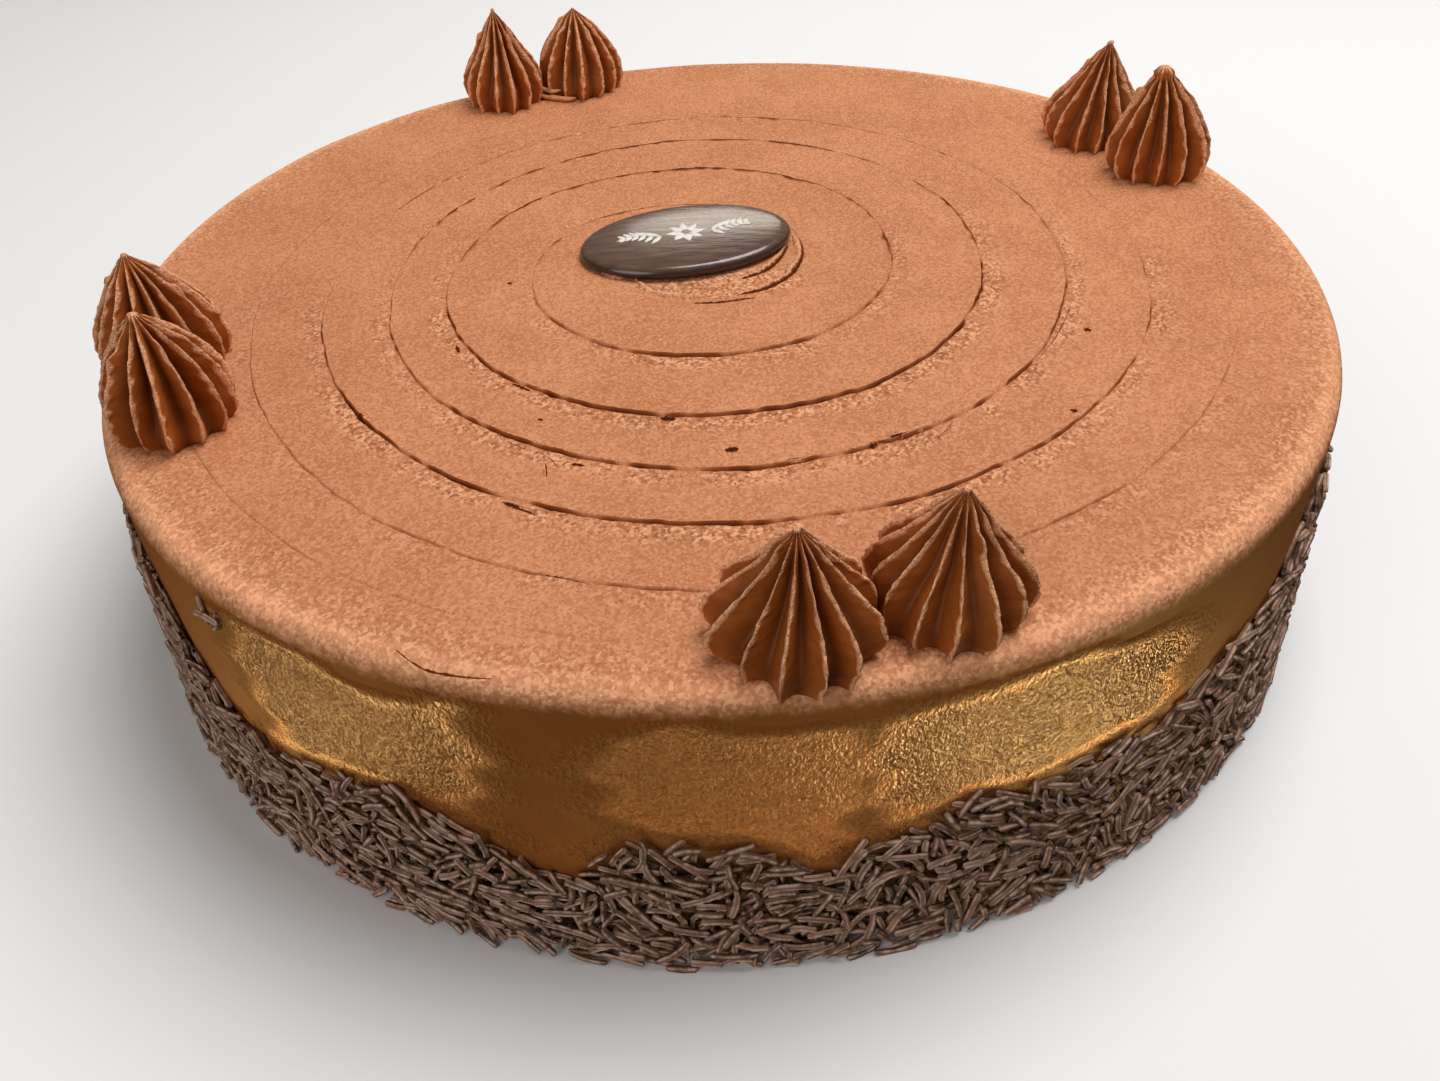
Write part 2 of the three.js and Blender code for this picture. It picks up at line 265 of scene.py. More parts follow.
def ring_faces(rows, columns, first=0):
    """Faces between rings of points, each ring as long as the next."""
    row, column = np.meshgrid(np.arange(rows - 1), np.arange(columns), indexing="ij")
    here, beside = row * columns + column, row * columns + (column + 1) % columns
    return first + np.stack([here, here + columns, beside + columns, beside], -1).reshape(-1, 4)


def combed_top(part):
    """Rows of the spiral from the middle out. Each turn's rows run on into the same rows of the next turn."""
    turns = np.arange(-1, KNIFE_END)[:, None, None] + part
    inner, outer = lip_radius(turns), lip_radius(turns + 1)
    scale = np.clip((outer - inner) / FULL_BAND, 0, 1)
    near, far = ROWS_OUTSIDE_LIP[-1] * scale, ROWS_INSIDE_LIP[0] * scale
    shares = np.arange(1, ROWS_BETWEEN + 1)[:, None] / (ROWS_BETWEEN + 1)
    middle = inner + near + shares * (outer - inner - near - far)
    outside = inner + np.array(ROWS_OUTSIDE_LIP)[:, None] * scale
    within = outer - np.array(ROWS_INSIDE_LIP)[:, None] * scale
    radius = np.concatenate([outside, middle, within], axis=1)
    past, before = radius - inner, outer - radius
    low, high = -0.5 * KNIFE_STEP * knife_pressure(turns), 0.5 * KNIFE_STEP * knife_pressure(turns + 1)
    share = past / np.maximum(outer - inner, 0.01)
    rise = np.where(past > 0, low + (high - low) * share**1.4, -low)
    sharp, next_sharp = lip_sharpness(turns) * scale, lip_sharpness(turns + 1) * scale
    lip = np.exp(-((before / LIP_WIDTH) ** 2)) * next_sharp + np.where(past > 0, 0, sharp)
    crevice = np.where(past > 0, np.exp(-(((past - CREVICE_AT) / crevice_width(turns)) ** 2)), 0.4) * sharp
    behind = smooth(-0.3, 0.5, np.sin(TURN * part))  # there the lip leans inwards, over the crevice
    inside = np.exp(-((before / (WIDER_BEHIND * crevice_width(turns + 1))) ** 2)) * next_sharp
    # At the back the crevice is not cut into the icing: its dark line there is painted shade alone.
    crevice = np.maximum(crevice, behind * np.maximum(inside, np.where(past > 0, 0, sharp)))
    x, y = polar(radius, TURN * part)
    cut = CREVICE_DEPTH * crevice * (past > 0) * (1 - behind)
    z = CAKE_HEIGHT + rise + LIP_RISE * lip - cut + swell(x, y)
    begins, ends = DRAGGED
    dragged = smooth(*begins, past) * (1 - smooth(*ends, past))
    torn = dragged * np.clip(sharp * 1.2, 0, 1) * (1 - 0.7 * behind)
    from_stirred = np.hypot((x - STIRRED[0]) / STIRRED[2], (y - STIRRED[1]) / STIRRED[3])
    torn = np.maximum(torn, 0.9 * (1 - smooth(0.75, 1.1, from_stirred)))
    return np.stack([x, y, z], -1).reshape(-1, 3), crevice.ravel(), torn.ravel()


def iced_body():
    part = np.arange(ICING_COLUMNS) / ICING_COLUMNS
    angle = TURN * part
    top, crevice, torn = combed_top(part)
    rings = [(np.full(ICING_COLUMNS, float(knife_radii[-1])), 0)]
    edge = side_radius(angle) - EDGE_ROUND
    for lean in np.radians(EDGE_LEANS):
        rings.append((edge + EDGE_ROUND * math.sin(lean), EDGE_ROUND * (1 - math.cos(lean))))
    for height in SIDE_RINGS:
        scraped = 0
        for seed, depth, around, high in SIDE_WAVES:
            scraped = scraped + depth * unevenness(seed, around * part + height / high)
        scraped = scraped * (1 - smooth(0.92, 1, part))  # so that the end meets the start
        rings.append((side_radius(angle) + scraped, CAKE_HEIGHT - height))
    rings.append((side_radius(angle) - FOOT_TUCK, CAKE_HEIGHT))
    rings.append((np.zeros(ICING_COLUMNS), CAKE_HEIGHT))
    low_part = []
    for radius, drop in rings:
        level = np.full(ICING_COLUMNS, CAKE_HEIGHT - drop)
        low_part.append(np.stack([*polar(radius, angle), level], -1))
    low_part = np.concatenate(low_part)
    low_part[: 2 * ICING_COLUMNS, 2] += swell(*low_part[: 2 * ICING_COLUMNS, :2].T)
    turn_rows = len(ROWS_OUTSIDE_LIP) + ROWS_BETWEEN + len(ROWS_INSIDE_LIP)
    top_rows = len(top) // ICING_COLUMNS
    row, column = np.meshgrid(np.arange(top_rows + 1), np.arange(ICING_COLUMNS + 1), indexing="ij")
    number = row * ICING_COLUMNS + column
    number[:, -1] = np.minimum(row[:, 0] + turn_rows, top_rows) * ICING_COLUMNS
    number[-1, -1] = top_rows * ICING_COLUMNS
    spiral = np.stack([number[:-1, :-1], number[1:, :-1], number[1:, 1:], number[:-1, 1:]], -1).reshape(-1, 4)
    plain = np.zeros(len(low_part))
    azimuth = np.tile(np.degrees(angle), len(rings))
    grained = np.zeros(len(low_part))
    for middle, half, strength in GRAINED:
        away = np.abs((azimuth - middle + 180) % 360 - 180) + 2 * unevenness(13, low_part[:, 2] / 4)
        grained = np.maximum(grained, strength * (1 - smooth(0.5, 1.15, away / half)))
    uneven_top = low_part[:, 2] + 3 * unevenness(12, azimuth / 7) * (1 - smooth(330, 360, azimuth))
    grained = grained * (1 - smooth(*GRAINED_TOP, uneven_top))
    over_band = low_part[:, 2] - band_top(np.tile(angle, len(rings)))
    # painted shade: the icing within the sprinkles' outline is marked to be painted nearly black, as the
    # shade between the rods
    sprinkle_shade = 1 - smooth(-3, 0, over_band)
    grained = grained * smooth(*GRAINED_FOOT, over_band)
    points = np.concatenate([top, low_part])
    faces = np.concatenate([spiral, ring_faces(len(rings), ICING_COLUMNS, len(top))])
    shades = {
        "crevice": np.append(crevice, plain),
        "torn": np.append(torn, plain),
        "sprinkle_shade": np.append(0 * torn, sprinkle_shade),
        "grained": np.append(0 * torn, grained),
    }
    return make_piece("combed_icing", points, faces, shades, weld=0.01)


class Tone:
    """A value on its way through a finish. Sums and products of tones add Math nodes."""

    def __init__(self, tree, socket=None):
        self.tree = tree
        self.socket = socket

    def node(self, kind, settings=(), sockets=(), output=0):
        made = self.tree.nodes.new("ShaderNode" + kind)
        for name, value in dict(settings).items():
            setattr(made, name, value)
        self.feed(made, dict(sockets))
        return Tone(self.tree, made.outputs[output])

    def feed(self, node, sockets):
        """Sets sockets of a node, and links those whose value is a tone."""
        for name, value in sockets.items():
            if isinstance(value, Tone):
                self.tree.links.new(value.socket, node.inputs[name])
            else:
                node.inputs[name].default_value = value

    def maths(self, operation, first, second=0.0):
        return self.node("Math", {"operation": operation}, {0: first, 1: second})

    def __add__(self, other):
        return self.maths("ADD", self, other)

    def __mul__(self, other):
        return self.maths("MULTIPLY", self, other)

    def __sub__(self, other):
        return self.maths("SUBTRACT", self, other)

    def __rsub__(self, other):
        return self.maths("SUBTRACT", other, self)

    __radd__ = __add__
    __rmul__ = __mul__

    def rising(self, low, high):
        """0 where this is below low, 1 above high and smooth between."""
        limits = {"From Min": low, "From Max": high}
        return self.node("MapRange", {"interpolation_type": "SMOOTHSTEP"}, {"Value": self, **limits})

    def blend(self, first, second):
        """The first colour where this is 0, the second where it is 1."""
        return self.node("Mix", {"data_type": "RGBA"}, {0: self, 6: first, 7: second}, output=2)


class Finish(Tone):
    """A new material, with the textures that this cake's finishes are made of. Sizes are in millimetres."""

    def __init__(self, name):
        self.material = bpy.data.materials.new(name)
        self.material.use_nodes = True
        super().__init__(self.material.node_tree)
        self.shader = self.tree.nodes["Principled BSDF"]
        self.place = self.node("TexCoord", output="Object")

    def scaled(self, step):
        return self.node("VectorMath", {"operation": "MULTIPLY"}, {0: self.place, 1: step})

    def grain(self, size, detail=2, stretch=(1, 1, 1)):
        """Soft random grain whose lumps are about this size, stretched along the axes."""
        scaled = self.scaled([1 / (size * MM * along) for along in stretch])
        sockets = {"Vector": scaled, "Scale": 1, "Detail": detail, "Roughness": 0.6}
        return self.node("TexNoise", sockets=sockets)

    def flecks(self, size):
        """A random value for each fleck of about this size."""
        scaled = self.scaled([1 / (size * MM)] * 3)
        return self.node("TexVoronoi", sockets={"Vector": scaled, "Scale": 1}, output="Color")

    def shade(self, name):
        return self.node("Attribute", {"attribute_name": name}, output="Fac")

    def part(self, axis):
        """How far along X, Y or Z a place is, in millimetres."""
        return self.node("SeparateXYZ", sockets={0: self.place}, output=axis) * (1 / MM)

    def from_axis(self):
        """How far a place is from the cake's middle, in millimetres."""
        flat = self.scaled((1 / MM, 1 / MM, 0))
        return self.node("VectorMath", {"operation": "LENGTH"}, {0: flat}, output="Value")

    def set(self, height=None, **looks):
        """Sets the shader's sockets, named with _ for a space, and its bump from a height in millimetres."""
        looks = {name.replace("_", " "): value for name, value in looks.items()}
        if height is not None:
            bump = {"Height": height, "Distance": MM, "Strength": 1.0}
            looks["Normal"] = self.node("Bump", sockets=bump, output="Normal")
        self.feed(self.shader, looks)
        return self.material


def buttercream():
    """Matt, and speckled on top where the knife opened air bubbles. The side's grained patches are glossy."""
    icing = Finish("buttercream")
    z, out = icing.part("Z"), icing.from_axis()
    bubbles = icing.flecks(0.62)
    on_top = (z + icing.grain(2.2, 3) * 3 + bubbles * 0.8).rising(*TOP_LOOK)
    rim = on_top * out.rising(*ROUGH_RIM)
    crevice, torn, sprinkle_shade, grained = (icing.shade(name) for name in ("crevice", "torn", "sprinkle_shade", "grained"))
    cloudy, broad = icing.grain(22, 3), icing.grain(6)
    speckle, rolled = icing.flecks(0.5), icing.shade("rolled")
    fine, open_bubbles = icing.grain(0.6), icing.grain(0.8)
    streaks = icing.grain(0.75, stretch=(1, 1, 1.3))
    pebbled, glossy = grained.rising(0, 0.45), grained.rising(0.4, 1)  # its gloss ends short of its grain
    rough = (torn * 0.9 + rim * 0.7 + 0.06 + broad.rising(0.5, 0.75) * 0.3).rising(0, 1)
    top = cloudy.rising(0.35, 0.65).blend((0.505, 0.2, 0.089, 1), (0.57, 0.236, 0.11, 1))
    top = (speckle.rising(0.45, 0.85) * 0.5).blend(top, (0.73, 0.345, 0.18, 1))
    top = ((1 - speckle.rising(0.15, 0.5)) * 0.4).blend(top, (0.33, 0.105, 0.034, 1))
    top = (rough * bubbles.rising(0.55, 0.8) * 0.75).blend(top, (0.85, 0.45, 0.25, 1))
    top = (rough * (1 - bubbles.rising(0.22, 0.42)) * (0.7 - 0.45 * rim)).blend(top, (0.25, 0.08, 0.027, 1))
    # The rim is painted paler: partly its own coarser, paler icing, partly painted light on the rounded edge,
    # where the shading falls off.
    pale = out.rising(*PALE_AND_LIT_RIM) * (0.35 + 0.35 * bubbles.rising(0.35, 0.7))
    top = pale.blend(top, (0.97, 0.47, 0.25, 1))
    # painted highlight: the raised rolls of icing are painted paler, as light catching them
    top = (rolled * 0.6).blend(top, (0.78, 0.41, 0.24, 1))
    # The side's browns are far darker than the top's: painted shade on the upright side, which the key light
    # does not reach.
    side = cloudy.rising(0.35, 0.65).blend((0.22, 0.06, 0.01, 1), (0.27, 0.078, 0.014, 1))
    # Lighter facets in the grained patches: partly paler smears of the grain itself, partly a painted glint
    # where the gleams reflect.
    glint_facets = streaks.rising(0.42, 0.62)
    side = (pebbled * glint_facets * 0.45).blend(side, (0.42, 0.16, 0.036, 1))
    # painted shade: nearly black icing between and under the sprinkles
    side = sprinkle_shade.blend(side, (0.035, 0.018, 0.011, 1))
    colour = on_top.blend(side, top)
    # painted shade: crevices under the lips and splits in the marks are painted dark brown to nearly black
    colour = crevice.rising(0.05, 0.55).blend(colour, (0.2, 0.045, 0.006, 1))
    colour = crevice.rising(0.45, 1).blend(colour, (0.055, 0.01, 0.001, 1))
    height = fine * 0.05 + rough * open_bubbles * 0.28 + pebbled * streaks * 1.4
    return icing.set(
        height=height,
        Base_Color=colour,
        Roughness=0.95 - glossy * 0.81 - on_top * (0.3 - rough * 0.1),
        Specular_IOR_Level=0.07,
    )


cake = iced_body()
cake.data.materials.append(buttercream())
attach(cake, "root")
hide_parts("iced_cake")


def knife_marks(icing):
    """Torn places and the ends of strokes: a split painted dark as shade, with icing pushed up on one side,
    or a bare pit, a flat patch painted dark as shade.
    """
    top = icing.data
    tree = BVHTree.FromPolygons([v.co for v in top.vertices], [p.vertices for p in top.polygons])
    luck = np.random.default_rng(5)
    points, faces, splits, rolls = [], [], [], []
    for path, width, lip in (*((*pit, 0) for pit in PITS), *SPLITS):
        steps = max(8, int(np.linalg.norm(np.diff(path, axis=0), axis=1).sum() / 0.4))
        first = len(points)
        for step, (here, out) in enumerate(zip(*drawn_line(path, steps))):
            share = (step + 0.5) / steps
            taper = math.sin(math.pi * share) ** (0.5 if lip else 1.3)
            size = width * (taper + 0.05) * luck.uniform(0.6, 1.4)
            for across, rise, split in LIPPED if lip else PITTED:
                x, y = here + out * (across * size + luck.uniform(-0.04, 0.04))
                hit = tree.ray_cast(Vector((x * MM, y * MM, OVER_TOP)), Vector((0, 0, -1)))[0]
                points.append((x, y, hit.z / MM + rise * lip * size * luck.uniform(0.7, 1.3) + 0.03))
                splits.append(split)
                # a steep lip's rise marks a roll for its painted highlight
                rolls.append(max(rise, 0) if lip > ROLLED_LIP else 0)
        columns = len(LIPPED)
        for step in range(steps - 1):
            for k in range(columns - 1):
                a = first + columns * step + k
                faces.append((a, a + columns, a + columns + 1, a + 1))
    # crevice: painted shade in the splits and over the flat pits
    shades = {"crevice": splits, "rolled": rolls, "torn": 0.8 * np.ones(len(splits))}
    return make_piece("knife_marks", points, faces, shades)


LIPPED = (  # places across a mark: share of half its width, rise and how far it is in the split
    (-1.7, -0.06, 0), (-1.2, 0.6, 0), (-0.6, 1, 0), (-0.15, 0.6, 0.5), (0.1, 0.1, 1), (0.5, -0.06, 0.2),
)
PITTED = ((-1.2, -0.06, 0), (-0.9, 0, 0.4), (-0.5, 0, 1), (0.5, 0, 1), (0.9, 0, 0.4), (1.2, -0.06, 0))
ROLLED_LIP = 0.7  # a steeper lip than this is a roll of icing, and paler
OVER_TOP = 80 * MM  # a height over the icing, from which the marks are let down on it
PITS = (  # the line that each follows on the top and half its width
    (((0.4, -71), (2.9, -70.6)), 0.9), (((74.5, -34), (75.9, -34.9)), 0.8),
    (((64.8, -62.8), (66.1, -63.5)), 0.7), (((-34.8, -57.9), (-33.7, -58.5)), 0.45),
    (((-60.2, 38.4), (-58.8, 39)), 0.7), (((-46.3, -4.8), (-45.1, -4.2)), 0.5),
    (((-11.6, -59.4), (-8.6, -59.9)), 0.8), (((11.3, -75.4), (14.2, -74.9)), 0.5),
    (((30.5, -69.6), (33.8, -67.7)), 0.7), (((26.6, -71.6), (28, -71.1)), 0.6),
    (((-27.4, -72.6), (-24.9, -73.4)), 0.5), (((-41, -44.9), (-37, -48)), 0.45),
    (((-38.8, -82.9), (-36.6, -84.2), (-32.6, -87)), 0.5), (((-70, -53.6), (-68.3, -56)), 0.5),
    (((-54.2, -29.5), (-53.2, -32.5)), 0.45),
)
SPLITS = (  # their lines, half their widths and how steep their lips are
    (((-36.7, -66.7), (-32.3, -69.8), (-30, -72.9)), 0.35, 0.5),
    (((-32.1, -72.2), (-31.8, -74.2), (-31.5, -76.4)), 0.35, 0.5),
    (((-14.9, -75.9), (-11, -76.8), (-7.2, -77.6)), 0.35, 0.5),
    (((-35.6, -84.5), (-32.4, -85.8), (-28.6, -86.2)), 0.3, 0.4),
    (((26.5, -70.4), (31, -70.6), (36.4, -70.3), (40, -68.6), (42.6, -64.6)), 0.4, 0.6),
    (((30, -68.6), (35, -67), (40.2, -64)), 0.35, 0.8),
    (((62.6, -45), (68.6, -36), (74, -25)), 0.3, 0.4),
    (((-66.2, 50.3), (-64.2, 52.2), (-62.3, 54)), 0.55, 0.3),
    (((-73.5, 68.8), (-72.6, 69.8), (-71.5, 70.3)), 0.4, 0.5),
    (((-37.5, 76.3), (-31.2, 79.5), (-24.8, 82.5)), 0.5, 0.3),
    (((-9.1, 84), (-6, 84.4), (-3, 84.6)), 0.6, 0.3),
    (((4.4, 83.1), (9.5, 82.8), (14.2, 81.9)), 0.5, 0.3),
    (((-70.6, 12.8), (-69.6, 18), (-68, 24.2), (-64, 32.5)), 0.3, 0.4),
    (((-51.1, -118.4), (-46.5, -121.7), (-40.4, -123.7), (-35.9, -124.6)), 0.5, 0.5),
    (((-31.1, -102.6), (-27.1, -103.6), (-21.8, -105.6)), 0.4, 0.5),
    (((18.6, 13), (20, 8), (19.6, 1), (16.5, -7), (11, -12.6), (5.5, -14.6)), 1.05, 0.8),
    (((17, 7.6), (14.6, 0.8), (11, -4.6), (6, -7.6)), 0.95, 0.8),
    (((14.5, 1.5), (12, -3), (8.5, -5.8)), 0.75, 0.8),
    (((-17.5, -5.4), (-13.3, -11.1), (-7.8, -13.3), (-2.2, -14.4)), 0.9, 0.8),
    (((-24.9, -1.5), (-22.9, -3.4), (-20.2, -4.7)), 0.8, 0.8),
    (((8.3, -16.3), (1.3, -17.6), (-4.7, -17.4)), 0.5, 0.7),
)
marks = knife_marks(cake)
marks.data.materials.append(cake.data.materials[0])
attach(marks, "root")

# ---- The sprinkles ------------------------------------------------------------
# Chocolate vermicelli, rods of dark matt chocolate, pressed by the handful round the foot of the cake
# while the icing was soft. They lie two or three deep at the foot and thin out to single ones along a
# scalloped outline.
BAND_FOOT = 4.0  # how deep the sprinkles lie on the icing at the foot
BAND_LIP = 1.5  # and along the outline
SPRINKLE_RADIUS = 0.6
SPRINKLE_LENGTH = (3.8, 9.5)
SIDES = 6
THICKNESS_SPREAD = (0.82, 1.12)
USUAL_BEND = 0.08  # of its length
HOOKED_BEND = 0.2
HOOKED_SHARE = 0.07
LONG_SPRINKLE = 6.6
SPRINKLES_THROWN = 18500
PLACES_TRIED = 16
CELL = 0.42
SUNK = 0.3  # how far a sprinkle is pressed into what it lies on
STEEPEST = 0.4  # slope outwards
PROUD = 0.9  # how far one may stand over the depth wanted
OVER_OUTLINE = (0.5, 4)  # how far most may reach over the outline, and how far one in five may
STRAY_SPRINKLES = ((-132.4, 57.5, 88), (-131.2, 56.5, 60), (-131.7, 57.2, 15))  # azimuth, height and slant


def wanted_depth(angle, z):
    """How deep the sprinkles lie on the icing at a height."""
    share = np.clip(z / band_top(angle), 0, 1)
    return np.where(z < band_top(angle), BAND_FOOT + (BAND_LIP - BAND_FOOT) * share**0.7, 0)


def packed_sprinkles():
    """Where each sprinkle lies: its middle's arc, height and depth, its length, its slant and slope outwards.

    Each is tried in several places and stays where it sinks deepest between those already there. The second
    value is the share of each that shows.
    """
    luck = np.random.default_rng(11)
    arc_cells, high_cells = int(TURN * CAKE_RADIUS / CELL), int(CAKE_HEIGHT / CELL)
    heap = np.zeros((arc_cells, high_cells))
    across = np.array([-0.95, -0.5, 0, 0.5, 0.95]) * SPRINKLE_RADIUS
    lift = SPRINKLE_RADIUS - np.sqrt(SPRINKLE_RADIUS**2 - across**2)

    def cells(arc, z, slant, along):
        arc, z, slant = (np.reshape(value, (-1, 1, 1)) for value in (arc, z, slant))
        s = arc + along[:, None] * np.cos(slant) - across * np.sin(slant)
        up = z + along[:, None] * np.sin(slant) + across * np.cos(slant)
        s, up = np.rint(s / CELL).astype(int), np.rint(up / CELL).astype(int)
        return s % arc_cells, np.clip(up, 0, high_cells - 1)

    lying = []
    for thrown in range(SPRINKLES_THROWN + len(STRAY_SPRINKLES)):
        length = luck.uniform(*SPRINKLE_LENGTH)
        if thrown < SPRINKLES_THROWN:
            angle = luck.uniform(0, TURN, PLACES_TRIED)
            z = luck.uniform(0, 1, PLACES_TRIED) * (band_top(angle) + 1)
            slant = luck.uniform(-1, 1, PLACES_TRIED) ** 3 * math.pi / 2
            slant = np.where(luck.random(PLACES_TRIED) < 0.25, slant, luck.uniform(-1.5, 1.5, PLACES_TRIED))
            z = np.maximum(z, SPRINKLE_RADIUS + np.abs(np.sin(slant)) * length / 2)
        else:
            azimuth, z, slant = (np.array([value]) for value in STRAY_SPRINKLES[thrown - SPRINKLES_THROWN])
            angle, slant = np.radians(azimuth), np.radians(slant)
        along = np.linspace(-length / 2, length / 2, 2 * int(length / CELL / 2) + 2)
        s, up = cells(angle * CAKE_RADIUS, z, slant, along)
        under = (heap[s, up] - lift).max(2)
        left, right = along < 0, along > 0
        spread = along[right][None, :] - along[left][:, None]
        rest = under[:, left][:, :, None] * along[right] - under[:, right][:, None, :] * along[left][:, None]
        rest = (rest / spread).reshape(len(angle), -1)
        depth = rest.max(1) - SUNK
        best = int(np.argmin(depth - wanted_depth(angle, z)))
        a, b = np.unravel_index(int(rest[best].argmax()), spread.shape)
        slope = (under[best, right][b] - under[best, left][a]) / spread[a, b]
        slope = float(np.clip(slope, -STEEPEST, STEEPEST))
        stands = depth[best] + 2 * SPRINKLE_RADIUS + abs(slope) * length / 4
        reach = along[[0, -1]]
        ends = z[best] + reach * math.sin(slant[best])
        over = ends - band_top(angle[best] + reach * math.cos(slant[best]) / CAKE_RADIUS)
        over = over.max() - OVER_OUTLINE[0 if thrown % 5 else 1]
        if thrown < SPRINKLES_THROWN and (stands > wanted_depth(angle[best], z[best]) + PROUD or over > 0):
            continue
        surface = (depth[best] + SPRINKLE_RADIUS + slope * along)[:, None] + SPRINKLE_RADIUS - lift
        np.maximum.at(heap, (s[best], up[best]), surface)
        middle = (angle[best] * CAKE_RADIUS, z[best], depth[best] + SPRINKLE_RADIUS)
        lying.append((*middle, length, slant[best], slope))
    shown = []
    for arc, z, depth, length, slant, slope in lying:
        along = np.linspace(-length / 2, length / 2, 12)
        s, up = cells(arc, z, slant, along)
        own = (depth + slope * along)[:, None] + SPRINKLE_RADIUS - lift
        shown.append((heap[s[0], up[0]] <= own + 0.1).mean())
    return np.array(lying), np.array(shown)


def sprinkle_rods(name, lying, ends, between, seed):
    """One mesh of slightly bent, uneven rods, ridged lengthwise by the die they were pressed through.

    Ends are (distance from the end, share of the radius), and between are rings at shares of half the length.
    """
    luck = np.random.default_rng(seed)
    arc, z, depth, length, slant, slope = lying.T
    count = len(lying)
    angle = arc / CAKE_RADIUS
    out = np.stack([np.cos(angle), np.sin(angle), np.zeros(count)], -1)
    round_cake = np.stack([-np.sin(angle), np.cos(angle), np.zeros(count)], -1)
    up = np.array([0, 0, 1.0])
    along = np.cos(slant)[:, None] * round_cake + np.sin(slant)[:, None] * up + slope[:, None] * out
    along = unit(along)
    aside = unit(np.cross(out, along))
    face = np.cross(along, aside)
    middle = out * (side_radius(angle) + depth)[:, None] + up * z[:, None]
    thick = SPRINKLE_RADIUS * luck.uniform(*THICKNESS_SPREAD, count)
    hooked = luck.random(count) < HOOKED_SHARE
    bend = luck.normal(0, 1, count) * np.where(hooked, HOOKED_BEND, USUAL_BEND) * length
    bend_at = luck.uniform(-0.35, 0.35, count)
    spin = luck.uniform(0, TURN, count)[:, None] + TURN * np.arange(SIDES) / SIDES
    stations = [(inset - length / 2, share) for inset, share in ends]
    stations += [(length / 2 * share, np.ones(count)) for share in between]
    stations += [(length / 2 - inset, share) for inset, share in reversed(ends)]
    points = []
    for reach, share in stations:
        along_it = 2 * reach / length
        bow = bend * (1 - along_it**2) * (1 + bend_at * along_it)
        centre = middle + along * reach[:, None] + aside * bow[:, None]
        if np.all(share == 0):
            points.append(centre[:, None])
            continue
        size = (thick * share * luck.uniform(0.9, 1.08, count))[:, None, None]
        around = aside[:, None] * np.cos(spin)[..., None] + face[:, None] * np.sin(spin)[..., None]
        points.append(centre[:, None] + size * around)
    per_rod = sum(p.shape[1] for p in points)
    k = np.arange(SIDES)
    after = (k + 1) % SIDES
    last = per_rod - 1
    one = [np.stack([np.zeros(SIDES, int), 1 + after, 1 + k], -1)]
    one.append(np.stack([np.full(SIDES, last), last - SIDES + k, last - SIDES + after], -1))
    for ring in range(len(points) - 3):
        a, b = 1 + ring * SIDES, 1 + (ring + 1) * SIDES
        one.append(np.stack([a + k, a + after, b + after], -1))
        one.append(np.stack([a + k, b + after, b + k], -1))
    faces = (np.concatenate(one)[None] + per_rod * np.arange(count)[:, None, None]).reshape(-1, 3)
    batch = np.repeat(luck.uniform(0, 1, count), per_rod)
    ridged = np.concatenate([[0.5], np.tile(k % 2, len(points) - 2), [0.5]])
    shades = {"batch": batch, "ridged": np.tile(ridged, count)}
    points = np.concatenate(points, 1).reshape(-1, 3)
    points[:, 2] = np.maximum(points[:, 2], 0.02)  # what lies on the table is flat below
    return make_piece(name, points, faces, shades)


def vermicelli():
    """Dull dark chocolate with a greyish bloom, no two rods quite alike. Pale lines along the ridges are
    partly bloom, partly painted highlight.
    """
    chocolate = Finish("vermicelli")
    batch, ridged = chocolate.shade("batch"), chocolate.shade("ridged")
    bloom, rough = chocolate.grain(1.6, 3), chocolate.grain(0.35)
    colour = batch.blend((0.13, 0.062, 0.035, 1), (0.3, 0.155, 0.09, 1))
    # Pale lines along alternate ridges: partly greyish bloom, partly a painted highlight along the ridges.
    colour = (bloom.rising(0.3, 0.65) * ridged).blend(colour, (0.85, 0.6, 0.46, 1))
    return chocolate.set(
        height=rough * 0.07 + ridged * 0.2,
        Base_Color=colour,
        Roughness=0.4 + 0.2 * bloom,
        Specular_IOR_Level=0.3,
    )


lying, shown = packed_sprinkles()
dark_chocolate = vermicelli()
SHOWN = 0.2  # of those that show less than this share, only the blunt inner part is made
HIDDEN = 0.02  # and of those that show less than this, nothing
ROUND_END = ((0, 0), (0.1, 0.62), (0.4, 0.98))
BLUNT_END = ((0, 0), (0.25, 0.85))
is_long = lying[:, 3] > LONG_SPRINKLE
SPRINKLES = (
    ("long_sprinkles", (shown > SHOWN) & is_long, ROUND_END, (-0.6, -0.2, 0.2, 0.6)),
    ("short_sprinkles", (shown > SHOWN) & ~is_long, ROUND_END, (0,)),
    ("sprinkles_beneath", (shown > HIDDEN) & (shown <= SHOWN), BLUNT_END, (0,)),
)
for seed, (kind, chosen, ends, between) in enumerate(SPRINKLES):
    sprinkles = sprinkle_rods(kind, lying[chosen], ends, between, 21 + seed)
    sprinkles.data.materials.append(dark_chocolate)
    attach(sprinkles, "root")
    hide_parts("iced_cake")

